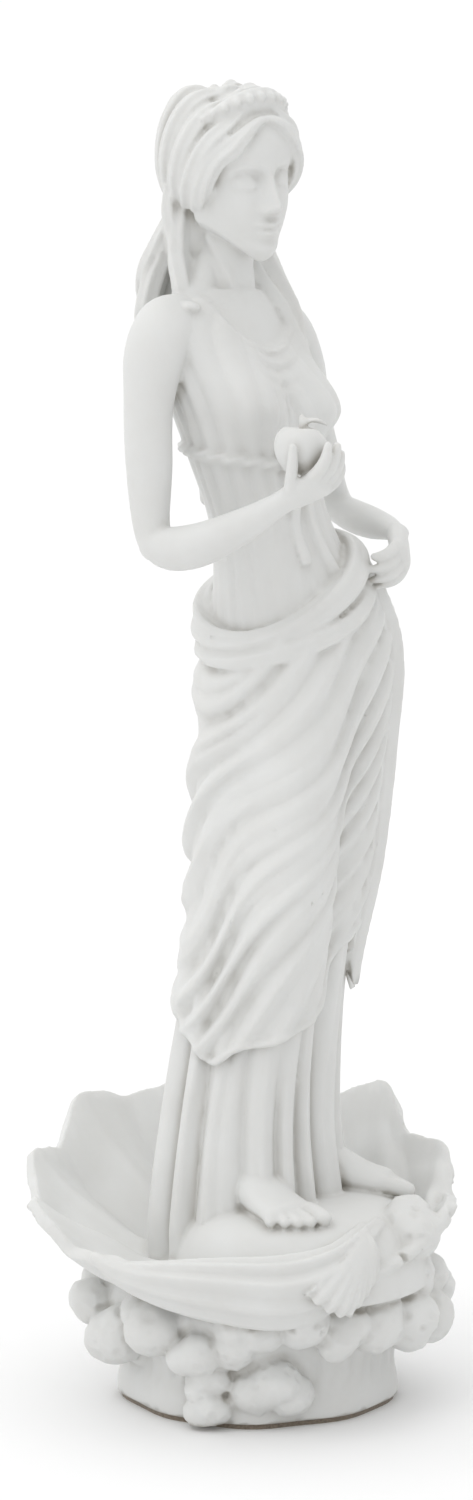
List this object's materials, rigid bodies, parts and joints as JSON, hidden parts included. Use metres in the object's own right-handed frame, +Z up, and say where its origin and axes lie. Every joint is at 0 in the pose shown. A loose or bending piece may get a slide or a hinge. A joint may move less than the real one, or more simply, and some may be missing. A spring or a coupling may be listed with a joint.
{
  "type": "aphrodite statue",
  "caption": "Cast-marble statuette of a draped Aphrodite holding an apple, standing barefoot in an open scallop shell on a foam-edged rock base with a felt pad.",
  "frame": {"origin": "middle of the felt pad's underside, where the statue stands", "axes": "+Z up, the goddess faces -Y, her left is +X"},
  "size_m": [0.0983, 0.0992, 0.2926],
  "materials": {
    "cast_marble": "matte white marble powder and resin",
    "felt": "brown felt"
  },
  "bodies": {
    "root": {"statue": "cast_marble", "felt_pad": "felt"}
  },
  "joints": []
}
